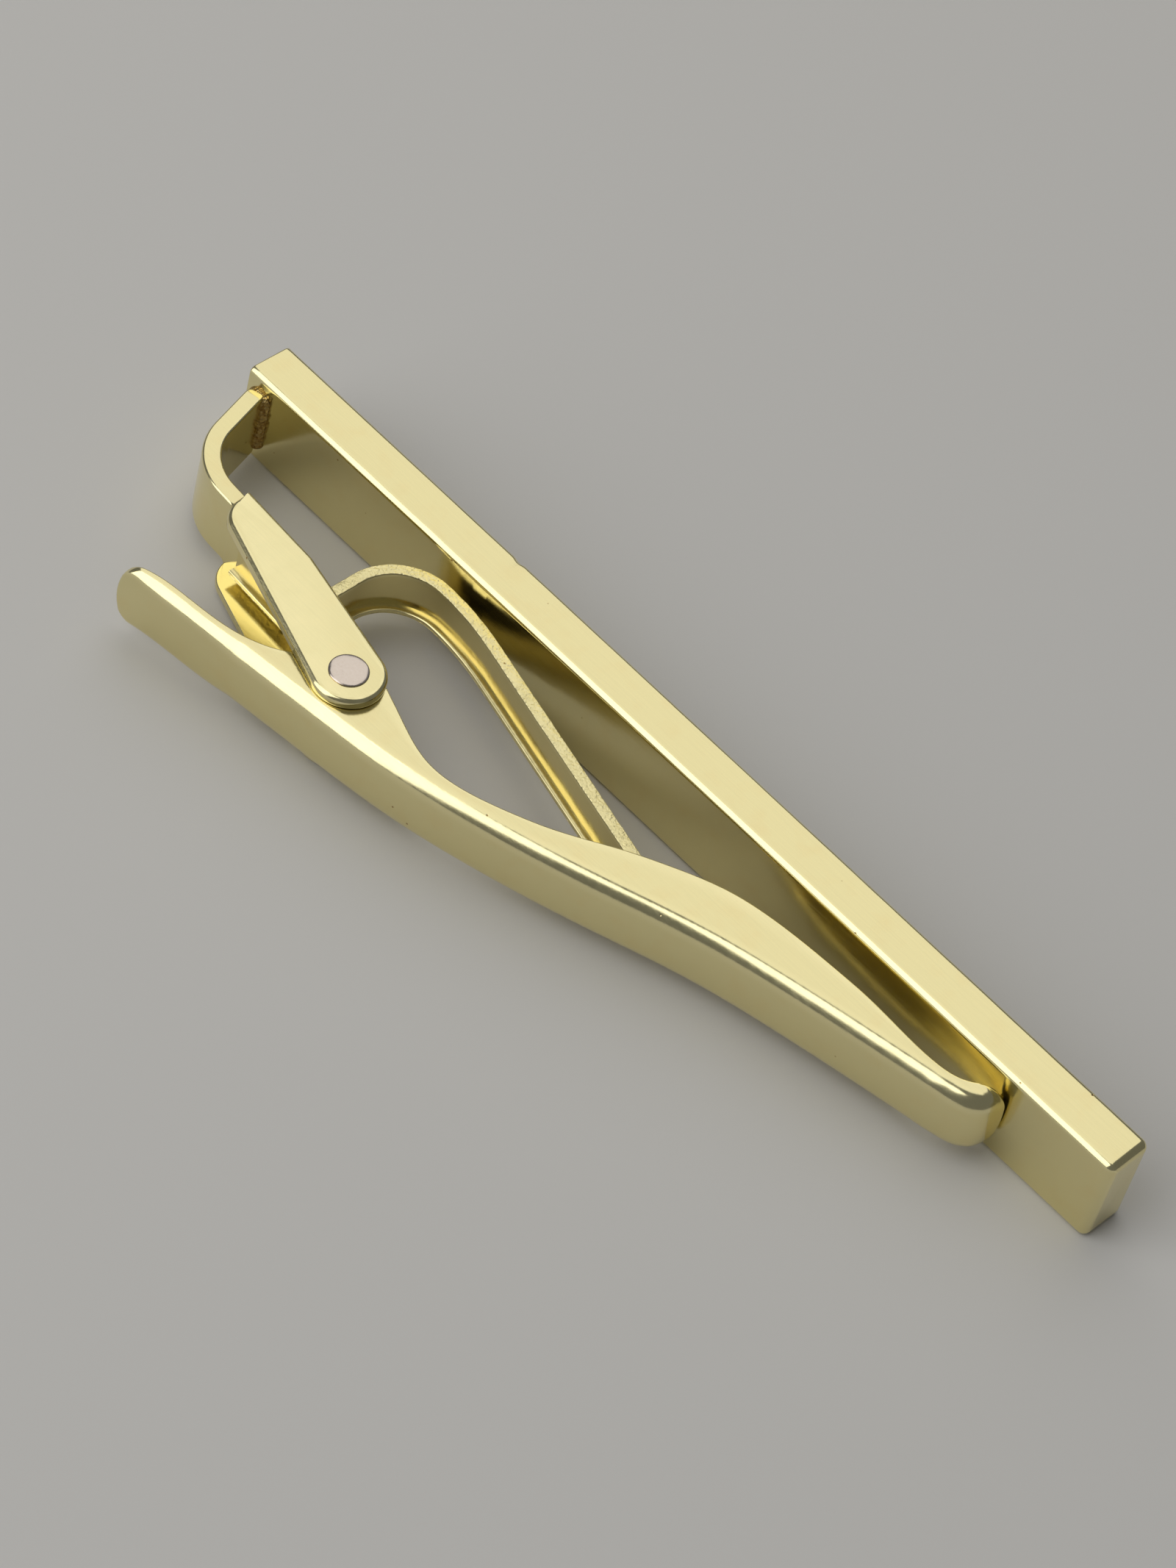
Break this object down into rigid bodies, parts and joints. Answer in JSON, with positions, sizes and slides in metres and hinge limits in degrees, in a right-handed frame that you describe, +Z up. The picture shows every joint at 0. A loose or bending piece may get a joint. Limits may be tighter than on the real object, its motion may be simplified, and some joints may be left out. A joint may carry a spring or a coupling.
{
  "type": "tie clip",
  "caption": "Gold-plated tie clip: a solid rectangular bar with a bent bracket, leaf spring and riveted channel lever on its back.",
  "frame": {"origin": "middle of the bar's back face, the face that the tie is gripped against, on the clip's mid-plane", "axes": "+X along the bar from the bracket's end to the free end, +Y out of the bar's show face, +Z up the bar's width and along the rivet; the clip lies on its side edge"},
  "size_m": [0.058, 0.0154, 0.0054],
  "materials": {
    "gold_plate": "polished pale gold plating with small pits",
    "solder": "rough, plated over",
    "steel": "polished steel, faintly warm"
  },
  "bodies": {
    "clip_body": {"front_bar": "gold_plate", "solder_joint": "solder", "bracket": "gold_plate", "rivet": "steel", "leaf_spring": "gold_plate"},
    "lever_body": {"lever": "gold_plate"}
  },
  "joints": [
    {"name": "lever_hinge", "type": "hinge", "parent": "clip_body", "child": "lever_body", "pos_m": [-0.0121, -0.0087, 0], "axis": [0, 0, -1], "range_deg": [0, 24], "stiffness_Nm_per_rad": 0.05, "springref_deg": -34.38}
  ]
}
